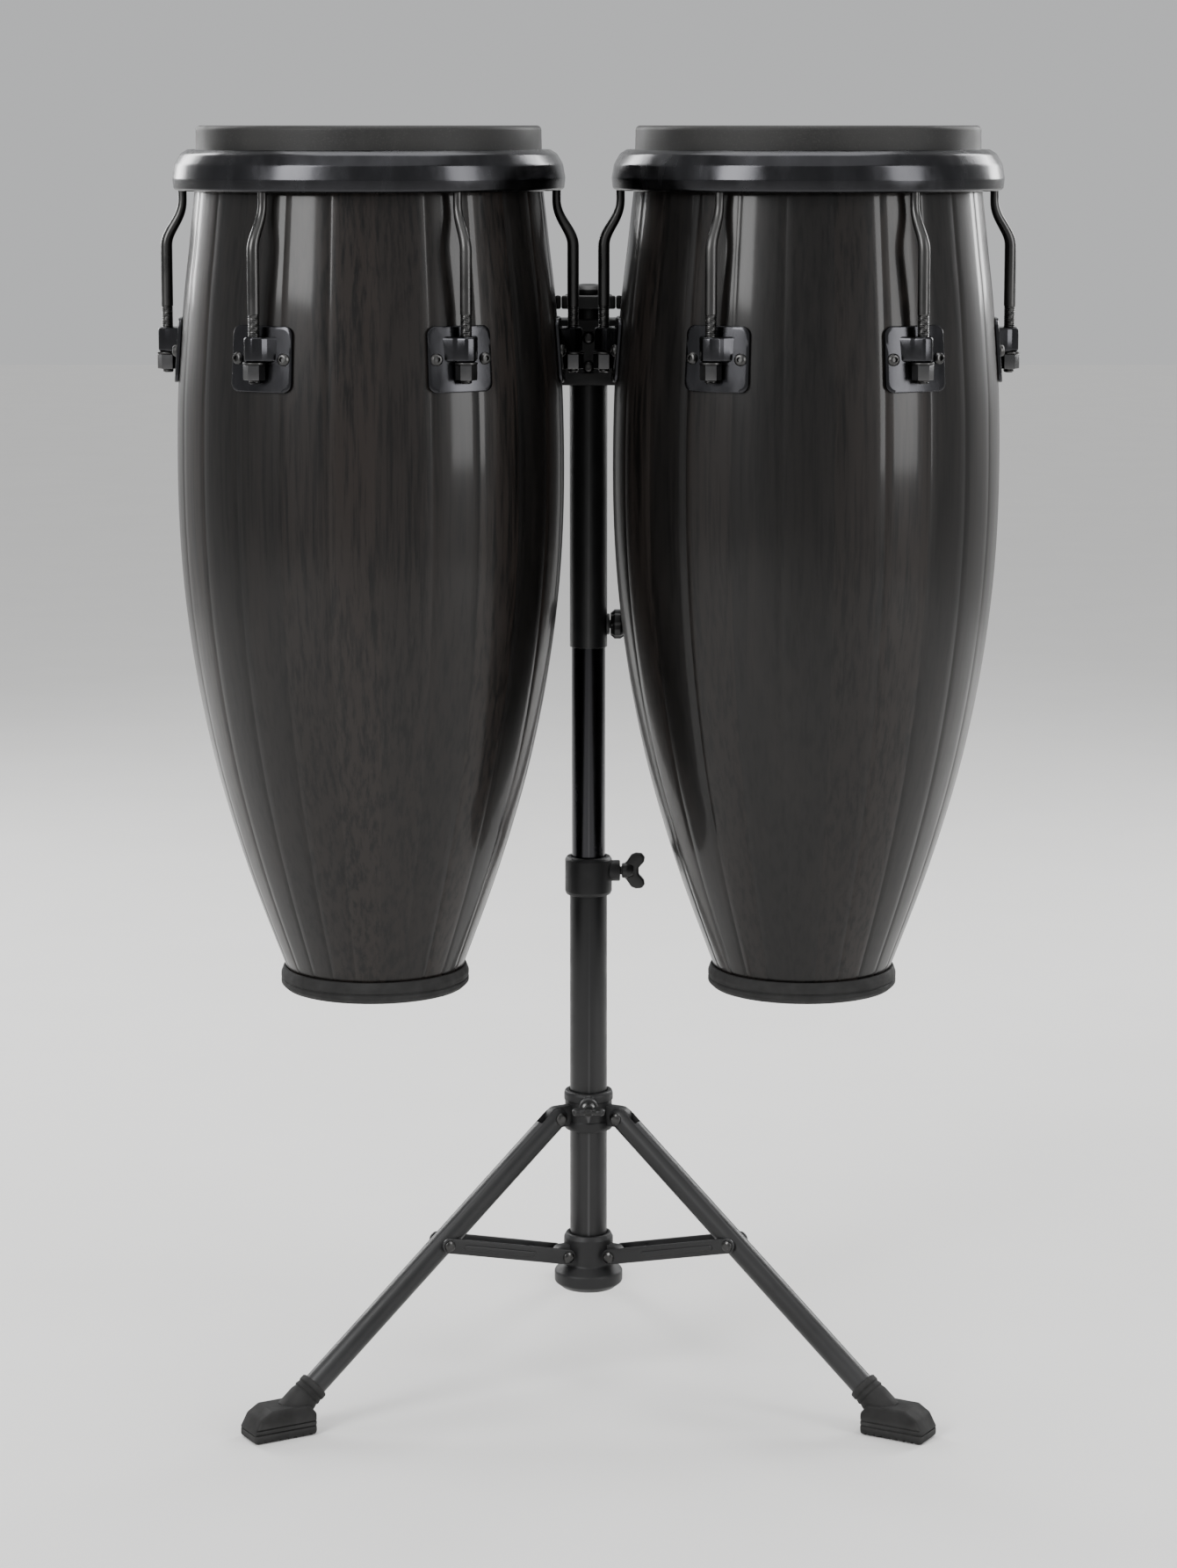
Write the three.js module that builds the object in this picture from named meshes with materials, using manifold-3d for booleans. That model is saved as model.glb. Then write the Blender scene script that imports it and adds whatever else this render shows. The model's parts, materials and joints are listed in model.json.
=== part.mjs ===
// A pair of matched conga drums on one folding double stand.
// Millimetres, +Z up. The stand's feet rest on z = 0, the players stand on the -Y side,
// and the origin is under the middle of the whole set's box.
import * as THREE from "three";
import { mergeVertices } from "three/addons/utils/BufferGeometryUtils.js";
import Module from "manifold-3d";

const wasm = await Module();
wasm.setup();

// ---------------------------------------------------------------- driving dimensions
const GAP = 0.35; // clearance between pieces that touch
// The inner column is raised by this much in its clamp. Heights of the drums, the head and
// the inner column itself are given as they are before it is raised.
const RAISED = 32;

// drums
const HEAD_TOP_Z = 1045; // playing surface
const DRUM_HEIGHT = 711;
const DRUM_X = 178; // drum axis to the stand's column, sideways
const DRUM_SETBACK = 79; // drum axes in front of the column
const LATHE_SIDES = 36;
const STAVE = 11; // shell wall
const LUGS = 6;
const ROD_R = 4.75;
const ROD_REACH = 165.5; // tuning rod axis from the drum axis, below its bend
const NECK_R = 3.5;
const NECK_REACH = 152; // the rod's neck, where it hangs on the rim
const RIM_R = 159.4;
const EAR_REACH = 173;
const RIM_LIP = 996; // height of the rim's lip, where the rods hang

// column
const TUBE_R = 15.9;
const TUBE_BORE = 14.75;
const INNER_R = 14.3;
const INNER_BORE = 12.7;
const BASE_TOP = 440;
const SLEEVE_BOTTOM = 608;
const SLEEVE_TOP = 905;
const COLUMN_SIDES = 24;

// crosshead and drum saddles
const CROSS_HALF = 28.5;
const CROSS_BOTTOM = 830;
const CROSS_TOP = 885;
const TONGUE_Y = 7; // dovetail centre behind the column axis
const TONGUE_DEPTH = 7.5;
const TONGUE_ROOT = 6; // half widths
const TONGUE_TIP = 8.5;

// heights of the hand screws
const LOCK_Z = 858;
const SWIVEL_Z = 627;
const HEIGHT_SCREW_Z = 447;
const COLLAR_SCREW_Z = 246;

// tripod
const LEG_PIVOT = [32, 235.6]; // [distance from the column axis, height]
const LEG_ANGLE = THREE.MathUtils.degToRad(49.4); // from vertical
const LEG_LENGTH = 340;
const LEG_R = 10;
const HUB_PIVOT = [27, 114];
const BRACE_REACH = 142; // where a brace meets its leg, from the column axis
const FOOT_TIP = 325;
const FOOT_HEEL = 268;
const PIN_R = 3;
const LEGS = { back: 90, left: 210, right: 330 };

// The column stands behind the middle of the set's box.
const COLUMN_Y = -(FOOT_TIP - DRUM_SETBACK - RIM_R) / 2;

// ---------------------------------------------------------------- finishes
const FINISH = {
  lacquer: { color: 0x17120f, roughness: 0.3, metalness: 0 },
  skin: { color: 0x232221, roughness: 0.7, metalness: 0 },
  blackPlate: { color: 0x141416, roughness: 0.25, metalness: 0.9 },
  powderCoat: { color: 0x161617, roughness: 0.5, metalness: 0.2 },
  casting: { color: 0x1a1a1b, roughness: 0.6, metalness: 0.4 },
  nylon: { color: 0x131313, roughness: 0.45, metalness: 0 },
  rubber: { color: 0x101010, roughness: 0.85, metalness: 0 },
};

// ---------------------------------------------------------------- solids
// A closed three.js geometry as a solid, with its faces turned outwards.
function solid(geometry) {
  const bare = geometry.clone();
  bare.deleteAttribute("normal");
  bare.deleteAttribute("uv");
  const merged = mergeVertices(bare, 1e-4);
  const position = merged.attributes.position;
  const corner = (i) => new THREE.Vector3().fromBufferAttribute(position, i);
  const faces = [];
  let volume = 0; // six times the signed volume
  for (let i = 0; i < merged.index.count; i += 3) {
    const [a, b, c] = [0, 1, 2].map((k) => merged.index.getX(i + k));
    if (a === b || b === c || c === a) continue;
    faces.push([a, b, c]);
    volume += corner(a).dot(corner(b).cross(corner(c)));
  }
  const triVerts = Uint32Array.from(faces.flatMap(([a, b, c]) => (volume < 0 ? [a, c, b] : [a, b, c])));
  const vertProperties = Float32Array.from(position.array);
  return new wasm.Manifold(new wasm.Mesh({ numProp: 3, vertProperties, triVerts }));
}

function geometryOf(body) {
  const { vertProperties, triVerts } = body.getMesh();
  const geometry = new THREE.BufferGeometry();
  geometry.setAttribute("position", new THREE.BufferAttribute(new Float32Array(vertProperties), 3));
  geometry.setIndex(new THREE.BufferAttribute(new Uint32Array(triVerts), 1));
  geometry.computeVertexNormals();
  return geometry;
}

const join = (...bodies) => bodies.reduce((whole, body) => whole.add(body));

const moved = (body, matrix) => solid(geometryOf(body).applyMatrix4(matrix));

const turned = (body, degrees) =>
  moved(body, new THREE.Matrix4().makeRotationZ(THREE.MathUtils.degToRad(degrees)));

// A solid of revolution about Z from a [radius, z] outline.
function revolve(outline, sides = COLUMN_SIDES) {
  const points = outline.map(([r, z]) => new THREE.Vector2(r, z));
  const onAxis = outline[0][0] === 0 && outline.at(-1)[0] === 0;
  if (!onAxis) points.push(points[0].clone());
  return solid(new THREE.LatheGeometry(points, sides).rotateX(Math.PI / 2));
}

const tube = (bore, outer, bottom, top, sides = COLUMN_SIDES) =>
  revolve([[bore, bottom], [outer, bottom], [outer, top], [bore, top]], sides);

// A round bar between two points.
function bar(from, to, radius, sides = 12) {
  const start = new THREE.Vector3(...from);
  const along = new THREE.Vector3(...to).sub(start);
  const geometry = new THREE.CylinderGeometry(radius, radius, along.length(), sides);
  const turn = new THREE.Quaternion().setFromUnitVectors(
    new THREE.Vector3(0, 1, 0),
    along.clone().normalize(),
  );
  geometry.applyQuaternion(turn);
  const middle = start.addScaledVector(along, 0.5);
  return solid(geometry.translate(middle.x, middle.y, middle.z));
}

function block([x0, x1], [y0, y1], [z0, z1]) {
  const geometry = new THREE.BoxGeometry(x1 - x0, y1 - y0, z1 - z0);
  return solid(geometry.translate((x0 + x1) / 2, (y0 + y1) / 2, (z0 + z1) / 2));
}

function extruded(outline, depth) {
  const shape = new THREE.Shape(outline.map(([x, y]) => new THREE.Vector2(x, y)));
  return new THREE.ExtrudeGeometry(shape, { depth, bevelEnabled: false });
}

// An [x, y] outline carried up from one height to another.
const prism = (outline, bottom, top) => solid(extruded(outline, top - bottom).translate(0, 0, bottom));

// An [x, z] outline carried along Y.
const slab = (outline, from, to) =>
  solid(extruded(outline, to - from).rotateX(Math.PI / 2).translate(0, to, 0));

// Round ends of an outline: points on an arc, angles in degrees.
function arc([x, y], radius, from, to, steps = 6) {
  return Array.from({ length: steps + 1 }, (_, i) => {
    const angle = THREE.MathUtils.degToRad(from + ((to - from) * i) / steps);
    return [x + radius * Math.cos(angle), y + radius * Math.sin(angle)];
  });
}

// A bar of varying thickness through round stations [x, z, radius], from the bottom up.
function stack(stations, sides = 8) {
  const position = [];
  const index = [];
  for (const [x, z, r] of stations) {
    for (let k = 0; k < sides; k += 1) {
      const angle = (2 * Math.PI * k) / sides;
      position.push(x + r * Math.cos(angle), r * Math.sin(angle), z);
    }
  }
  const last = (stations.length - 1) * sides;
  for (let k = 0; k < sides; k += 1) {
    const next = (k + 1) % sides;
    for (let row = 0; row < last; row += sides) {
      index.push(row + k, row + next, row + sides + next);
      index.push(row + k, row + sides + next, row + sides + k);
    }
    if (k > 0 && k < sides - 1) {
      index.push(0, k + 1, k);
      index.push(last, last + k, last + k + 1);
    }
  }
  const geometry = new THREE.BufferGeometry();
  geometry.setAttribute("position", new THREE.Float32BufferAttribute(position, 3));
  geometry.setIndex(index);
  return solid(geometry);
}

function add(group, name, body, finish) {
  const mesh = new THREE.Mesh(geometryOf(body), new THREE.MeshStandardMaterial(FINISH[finish]));
  mesh.name = name;
  group.add(mesh);
}

// ---------------------------------------------------------------- the drum shell's curve
// [depth below the playing surface, outside radius]
const SHELL_CURVE = new THREE.SplineCurve(
  [
    [0, 138.4],
    [24, 138.6],
    [60, 141.6],
    [135, 150.8],
    [225, 157.3],
    [290, 158.1],
    [363, 155],
    [449, 144.5],
    [535, 126.4],
    [616, 102.1],
    [705, 69.4],
  ].map(([depth, r]) => new THREE.Vector2(depth, r)),
);
const SHELL_STEPS = [24, 98, 135, 180, 225, 300, 363, 420, 480, 540, 616, 705];
const EDGE_DEPTH = 2.2; // bearing edge below the playing surface

function curveRadius(depth) {
  const samples = SHELL_CURVE.getPoints(400);
  const i = Math.max(1, samples.findIndex((p) => p.x >= depth - 1e-6));
  const [a, b] = [samples[i - 1], samples[i]];
  return a.y + ((b.y - a.y) * (depth - a.x)) / (b.x - a.x);
}

// [radius, z] down the outside of the shell
const SHELL_LINE = SHELL_STEPS.map((depth) => [curveRadius(depth), HEAD_TOP_Z - depth]);
const SHELL_BOTTOM = SHELL_LINE.at(-1)[1];

function shellRadius(z) {
  const i = Math.max(1, SHELL_LINE.findIndex((p) => p[1] <= z));
  const [[r0, z0], [r1, z1]] = [SHELL_LINE[i - 1], SHELL_LINE[i]];
  return r0 + ((r1 - r0) * (z - z0)) / (z1 - z0);
}

// The shell's outside as a full body between two heights, grown by a margin.
function shellCore(bottom, top, grow) {
  const steps = SHELL_LINE.map((p) => p[1]).filter((z) => z > bottom && z < top);
  const levels = [top, ...steps, bottom];
  const line = levels.map((z) => [shellRadius(z) + grow, z]);
  return revolve([[0, top], ...line, [0, bottom]], LATHE_SIDES);
}

// ---------------------------------------------------------------- drum pieces
function shell() {
  const edge = [
    [127.5, HEAD_TOP_Z - 6],
    [131.5, HEAD_TOP_Z - EDGE_DEPTH],
    [136, HEAD_TOP_Z - 3.6],
  ];
  const inside = SHELL_LINE.filter((_, i) => i % 2 === 1).map(([r, z]) => [r - STAVE, z]);
  return revolve([...edge, ...SHELL_LINE, ...inside.reverse()], LATHE_SIDES);
}

function head() {
  const thick = 1.8;
  const corner = 5.5;
  const r = 140.5;
  const skirt = HEAD_TOP_Z - 24;
  const outside = arc([r - corner, HEAD_TOP_Z - corner], corner, 90, 0, 2);
  const inside = arc([r - corner, HEAD_TOP_Z - corner], corner - thick, 0, 90, 2);
  const lowerEdge = [
    [r, skirt],
    [r - thick, skirt],
  ];
  return revolve([[0, HEAD_TOP_Z], ...outside, ...lowerEdge, ...inside, [0, HEAD_TOP_Z - thick]], LATHE_SIDES);
}

const fleshHoop = () => tube(142.6, 148.4, 1003, 1011, LATHE_SIDES);

// A rolled steel rim: the inner leg presses the flesh hoop, the lip below carries the tuning rods.
function rim() {
  const outside = [[142.2, 1025.6], [147.4, 1026], [153.6, 1021.2], [158, 1013], [RIM_R, 1003.5]];
  const lip = [[158, 995], [155.5, 993], [151, 993], [151, RIM_LIP], [155.1, RIM_LIP + 0.1]];
  const inside = [[156.4, 1003.6], [153.4, 1014], [147, 1021.4], [145.2, 1021.4]];
  const foot = [[145.2, 1011.6], [142.2, 1011.6]];
  let body = revolve([...outside, ...lip, ...inside, ...foot], LATHE_SIDES);
  for (let k = 0; k < LUGS; k += 1) {
    const notch = bar([NECK_REACH, 0, 990], [NECK_REACH, 0, RIM_LIP + 1.5], NECK_R + 0.7, 8);
    body = body.subtract(turned(notch, (360 / LUGS) * k));
  }
  return body;
}

// A tuning rod: a T head on the rim's lip, a neck, a bend that clears the belly, a straight shank.
function tuningRod() {
  const shank = stack([
    [ROD_REACH, 845, ROD_R],
    [ROD_REACH, 951, ROD_R],
    [163.4, 960, 4.6],
    [154.4, 975, 4],
    [NECK_REACH, 984, NECK_R],
    [NECK_REACH, RIM_LIP + 1.2, NECK_R],
  ]);
  const tee = block([NECK_REACH - 3.3, NECK_REACH + 2.3], [-8, 8], [RIM_LIP + 0.6, 1002]);
  return join(shank, tee);
}

// A side plate curved to the shell, with the ear that guides a rod and the nut under it.
function sidePlate() {
  const [bottom, top] = [838, 890];
  const half = 28;
  const ear = [[140, 15], [158, 11], [167, 8.4], [EAR_REACH, 4]];
  const earOutline = [...ear, ...ear.map(([x, y]) => [x, -y]).reverse()];
  const plate = shellCore(bottom, top, 3.3).intersect(block([120, 170], [-half, half], [bottom, top]));
  const nut = solid(
    new THREE.CylinderGeometry(8.66, 8.66, 14.2, 6).rotateX(Math.PI / 2).translate(ROD_REACH, 0, 855.1),
  );
  return join(plate, prism(earOutline, 862, 882), nut)
    .subtract(shellCore(bottom - 5, top + 5, GAP))
    .subtract(bar([ROD_REACH, 0, 840], [ROD_REACH, 0, 890], ROD_R + 0.9, 8));
}

// A rubber ring that shoes the foot of the shell.
function baseRing() {
  const floor = HEAD_TOP_Z - DRUM_HEIGHT;
  const top = floor + 18;
  const wall = (z) => shellRadius(z) + GAP;
  const outside = [[62, floor], [74, floor], [78, floor + 5], [78, floor + 12], [wall(top) + 1.2, top]];
  const seat = [[wall(top), top], [wall(SHELL_BOTTOM), SHELL_BOTTOM - GAP], [62, SHELL_BOTTOM - GAP]];
  return revolve([...outside, ...seat], LATHE_SIDES);
}

// ---------------------------------------------------------------- drum saddle, facing +X
const SADDLE_FACE = DRUM_X - CROSS_HALF - 0.5;

// The dovetail's plan, measured outwards from the crosshead's flank.
function dovetail(grow) {
  const [root, tip, depth] = [TONGUE_ROOT + grow, TONGUE_TIP + grow, TONGUE_DEPTH + grow];
  return [[-2, -root], [0, -root], [depth, -tip], [depth, tip], [0, root], [-2, root]];
}

// A cast saddle bolted to the shell; its socket drops over the crosshead's dovetail.
function saddle() {
  const [bottom, top] = [816, 888];
  const turnBack = 30;
  const flange = shellCore(bottom, top, 3.3).intersect(
    turned(block([100, 170], [-20, 20], [bottom, top]), turnBack),
  );
  const body = block([95, SADDLE_FACE], [DRUM_SETBACK - 15, DRUM_SETBACK + 25], [834, 886]);
  const socketPlan = dovetail(0.4).map(([out, y]) => [DRUM_X - CROSS_HALF - out, DRUM_SETBACK + TONGUE_Y + y]);
  const hole = bar([DRUM_X - 33, 150, LOCK_Z], [DRUM_X - 33, DRUM_SETBACK + TONGUE_Y, LOCK_Z], 3, 8);
  return join(flange, body)
    .subtract(shellCore(bottom - 5, top + 5, GAP))
    .subtract(prism(socketPlan, 800, 882.6))
    .subtract(hole);
}

// A wing screw along +X: the shank's tip at x = 0, the hub from `grip` outwards.
function wingScrew(grip, shankR, size) {
  const wing = [[0, 4], [4, 8], [8, 14], [12, 15.5], [17, 15.2], [19.8, 12], [19, 7.5], [14.5, 2.5]];
  const bothWings = [...wing, ...wing.map(([x, z]) => [x, -z]).reverse()];
  const wings = bothWings.map(([x, z]) => [grip + x * size, z * size]);
  return join(
    bar([0, 0, 0], [grip + 2, 0, 0], shankR, 8),
    bar([grip, 0, 0], [grip + 10 * size, 0, 0], 6.8 * size),
    slab(wings, -2.8 * size, 2.8 * size),
  );
}

// ---------------------------------------------------------------- stand pieces
// A hinge tongue in the [out, z] plane: a disc round the pivot with a web back to the body.
function tongue([reach, z], disc, root, half) {
  const outline = [[root, z - disc], ...arc([reach, z], disc, -90, 90, 5), [root, z + disc]];
  const pivot = bar([reach, -20, z], [reach, 20, z], PIN_R + 0.6, 8);
  return slab(outline, -half, half).subtract(pivot);
}

function withTongues(body, pivot, disc, root, half) {
  const tongues = Object.values(LEGS).map((azimuth) => turned(tongue(pivot, disc, root, half), azimuth));
  return join(body, ...tongues);
}

function lowerHub() {
  const cup = [[0, 82], [24, 82], [29.3, 87], [29.5, 97], [21, 103.5], [21, 127], [18.5, 130]];
  const socket = [[16.3, 130], [16.3, 91.6], [0, 91.6]];
  return withTongues(revolve([...cup, ...socket]), HUB_PIVOT, 8, 17.5, 4.6);
}

function legCollar() {
  const boss = bar([0, -17, COLLAR_SCREW_Z], [0, -27, COLLAR_SCREW_Z], 8);
  const hole = bar([0, -12, COLLAR_SCREW_Z], [0, -40, COLLAR_SCREW_Z], PIN_R + 0.9, 8);
  const ring = revolve([[16.4, 222], [19.5, 222], [21, 224], [21, 254], [19.5, 256], [16.4, 256]]);
  const body = withTongues(ring, LEG_PIVOT, 9, 18, 4.2);
  return body.add(boss).subtract(bar([0, 0, 200], [0, 0, 280], 16.4, COLUMN_SIDES)).subtract(hole);
}

function heightClamp() {
  const [bottom, top] = [427, 460];
  const shoulder = BASE_TOP + 0.4;
  const [lowerBore, upperBore] = [TUBE_R + 0.45, TUBE_BORE + 0.1];
  const outside = [[lowerBore, bottom], [18.5, bottom], [20, bottom + 2], [20, top - 2], [18.5, top]];
  const inside = [[upperBore, top], [upperBore, shoulder], [lowerBore, shoulder]];
  const ring = revolve([...outside, ...inside]);
  const boss = bar([17, 0, HEIGHT_SCREW_Z], [27, 0, HEIGHT_SCREW_Z], 9);
  const hole = bar([10, 0, HEIGHT_SCREW_Z], [40, 0, HEIGHT_SCREW_Z], 4.7, 8);
  return ring.add(boss).subtract(hole);
}

// A point on a leg's axis, [out, z], at a length below its pivot.
const legPoint = (length) => [
  LEG_PIVOT[0] + length * Math.sin(LEG_ANGLE),
  LEG_PIVOT[1] - length * Math.cos(LEG_ANGLE),
];

function legBar(from, to, radius, sides) {
  const [a, b] = [legPoint(from), legPoint(to)];
  return bar([a[0], 0, a[1]], [b[0], 0, b[1]], radius, sides);
}

// A leg pointing along +X: a tube, forked at the top round the collar's tongue.
function leg() {
  const [reach, z] = LEG_PIVOT;
  const cheeks = bar([reach, -9.4, z], [reach, 9.4, z], 9.4, 16);
  const slotLocal = solid(new THREE.BoxGeometry(26, 9.4, 26));
  const slot = moved(
    slotLocal,
    new THREE.Matrix4().makeTranslation(reach, 0, z).multiply(new THREE.Matrix4().makeRotationY(LEG_ANGLE)),
  );
  return join(legBar(0, LEG_LENGTH, LEG_R, 16), cheeks)
    .subtract(legBar(6, LEG_LENGTH - 6, LEG_R - 1.6, 10))
    .subtract(slot)
    .add(bar([reach, -7, z], [reach, 7, z], PIN_R, 10));
}

function foot() {
  const outline = [
    [FOOT_HEEL, 4], [FOOT_HEEL + 4, 0], [FOOT_TIP - 4, 0], [FOOT_TIP, 4],
    [FOOT_TIP - 1, 12], [FOOT_TIP - 7, 21], [FOOT_TIP - 16, 26], [FOOT_HEEL + 7, 26], [FOOT_HEEL, 20],
  ];
  return slab(outline, -15, 15).subtract(legBar(270, LEG_LENGTH + GAP, LEG_R + GAP, 16));
}

// Where a brace meets its leg.
const BRACE_END = [BRACE_REACH, LEG_PIVOT[1] - (BRACE_REACH - LEG_PIVOT[0]) / Math.tan(LEG_ANGLE)];

// A forked brace pointing along +X: two straps outside the leg, a hub pin and a stretcher.
function brace() {
  const [dx, dz] = [BRACE_END[0] - HUB_PIVOT[0], BRACE_END[1] - HUB_PIVOT[1]];
  const rise = THREE.MathUtils.radToDeg(Math.atan2(dz, dx));
  const half = 6.5;
  const outline = [...arc(HUB_PIVOT, half, rise + 90, rise + 270), ...arc(BRACE_END, half, rise - 90, rise + 90)];
  const [inner, outer] = [10.6, 13.1];
  const along = 0.22;
  const [sx, sz] = [HUB_PIVOT[0] + dx * along, HUB_PIVOT[1] + dz * along];
  return join(
    slab(outline, inner, outer),
    slab(outline, -outer, -inner),
    bar([HUB_PIVOT[0], -inner - 1, HUB_PIVOT[1]], [HUB_PIVOT[0], inner + 1, HUB_PIVOT[1]], PIN_R, 10),
    bar([sx, -inner - 1, sz], [sx, inner + 1, sz], PIN_R, 8),
  );
}

function headSleeve() {
  const boss = bar([12, 0, SWIVEL_Z], [18, 0, SWIVEL_Z], 9);
  return tube(TUBE_BORE, TUBE_R, SLEEVE_BOTTOM, SLEEVE_TOP)
    .add(boss)
    .subtract(bar([0, 0, SWIVEL_Z - 20], [0, 0, SWIVEL_Z + 20], TUBE_BORE, COLUMN_SIDES))
    .subtract(bar([5, 0, SWIVEL_Z], [30, 0, SWIVEL_Z], 4.6, 8));
}

// A round knob along +X whose shank presses on the inner tube.
function swivelKnob() {
  const shank = [[0, 14.8], [3.8, 14.8], [3.8, 18.6]];
  const grip = [[11, 18.6], [12.5, 20.5], [12.5, 26], [10.5, 30], [6, 31.6], [0, 32]];
  return moved(
    revolve([...shank, ...grip], 12),
    new THREE.Matrix4().makeTranslation(0, 0, SWIVEL_Z).multiply(new THREE.Matrix4().makeRotationY(Math.PI / 2)),
  );
}

function crosshead() {
  const front = [[-CROSS_HALF, -14], [-CROSS_HALF + 6, -19], [CROSS_HALF - 6, -19], [CROSS_HALF, -14]];
  const back = [[CROSS_HALF, 20], [-CROSS_HALF, 20]];
  const body = prism([...front, ...back], CROSS_BOTTOM, CROSS_TOP);
  const tongues = [1, -1].map((side) =>
    prism(dovetail(0).map(([out, y]) => [side * (CROSS_HALF + out), TONGUE_Y + y]), 836, 882),
  );
  return join(body, ...tongues).subtract(bar([0, 0, 800], [0, 0, 900], TUBE_R + 0.4, COLUMN_SIDES));
}

// A clamp ring with a cross bar whose ends keep the shells off the column.
function bumperBar() {
  const [bottom, top] = [894, SLEEVE_TOP];
  const half = 28;
  return join(
    bar([0, 0, bottom], [0, 0, top], 20, COLUMN_SIDES),
    block([-half, half], [-27, -18.5], [bottom, top]),
  ).subtract(bar([0, 0, bottom - 5], [0, 0, top + 5], TUBE_R + 0.4, COLUMN_SIDES));
}

function columnCap() {
  const brim = SLEEVE_TOP + GAP;
  const plug = [[0, 885], [12, 885], [12, brim]];
  return revolve([...plug, [TUBE_R, brim], [TUBE_R, 909], [12, 912.6], [0, 914]]);
}

// ---------------------------------------------------------------- assembly
const set = new THREE.Group();
set.position.y = COLUMN_Y;
const raised = new THREE.Group();
raised.position.z = RAISED;
set.add(raised);

// The base: fixed column, hub and clamp.
add(set, "base_tube", tube(TUBE_BORE, TUBE_R, 92, BASE_TOP), "powderCoat");
add(set, "lower_hub", lowerHub(), "casting");
add(set, "height_clamp", heightClamp(), "casting");
const alongX = (x, z) => new THREE.Matrix4().makeTranslation(x, 0, z);
add(set, "height_screw", moved(wingScrew(13.4, 3.8, 1), alongX(15, HEIGHT_SCREW_Z)), "nylon");

// The tripod: a sliding collar, three legs with feet, three braces.
add(set, "leg_collar", legCollar(), "casting");
const collarScrewPlace = new THREE.Matrix4()
  .makeTranslation(0, -16.4, COLLAR_SCREW_Z)
  .multiply(new THREE.Matrix4().makeRotationZ(-Math.PI / 2))
  .multiply(new THREE.Matrix4().makeRotationX(Math.PI / 2));
add(set, "collar_screw", moved(wingScrew(11.4, PIN_R, 0.9), collarScrewPlace), "nylon");
for (const [side, azimuth] of Object.entries(LEGS)) {
  add(set, `${side}_leg`, turned(leg(), azimuth), "powderCoat");
  add(set, `${side}_foot`, turned(foot(), azimuth), "rubber");
  add(set, `${side}_brace`, turned(brace(), azimuth), "powderCoat");
}

// The sliding inner column and the swivelling head.
add(raised, "inner_tube", tube(INNER_BORE, INNER_R, 190, 902), "powderCoat");
add(raised, "head_sleeve", headSleeve(), "powderCoat");
add(raised, "swivel_knob", swivelKnob(), "nylon");
add(raised, "crosshead", crosshead(), "casting");
add(raised, "bumper_bar", bumperBar(), "casting");
add(raised, "column_cap", columnCap(), "nylon");

// The drums. `mirror` turns the saddle towards the column on the right-hand drum.
function addDrum(side, x) {
  const drum = new THREE.Group();
  drum.position.set(x, -DRUM_SETBACK, 0);
  raised.add(drum);
  const mirror = new THREE.Matrix4().makeScale(x > 0 ? -1 : 1, 1, 1);
  add(drum, `${side}_shell`, shell(), "lacquer");
  add(drum, `${side}_head`, head(), "skin");
  add(drum, `${side}_flesh_hoop`, fleshHoop(), "blackPlate");
  add(drum, `${side}_rim`, rim(), "blackPlate");
  add(drum, `${side}_base_ring`, baseRing(), "rubber");
  for (let k = 0; k < LUGS; k += 1) {
    const azimuth = (360 / LUGS) * k;
    add(drum, `${side}_side_plate_${k + 1}`, turned(sidePlate(), azimuth), "blackPlate");
    add(drum, `${side}_tuning_rod_${k + 1}`, turned(tuningRod(), azimuth), "blackPlate");
  }
  const lockPlace = new THREE.Matrix4()
    .makeTranslation(DRUM_X - 33, DRUM_SETBACK + 15.2, LOCK_Z)
    .multiply(new THREE.Matrix4().makeRotationZ(Math.PI / 2));
  add(drum, `${side}_saddle`, moved(saddle(), mirror), "casting");
  add(drum, `${side}_lock_screw`, moved(moved(wingScrew(11, 2.4, 0.75), lockPlace), mirror), "nylon");
}
addDrum("left", -DRUM_X);
addDrum("right", DRUM_X);

export default set;
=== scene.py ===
"""Matched conga drums on a folding double stand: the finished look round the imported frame."""
import json
import math
import random
import bmesh
import bpy
from mathutils import Matrix, Vector

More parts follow.
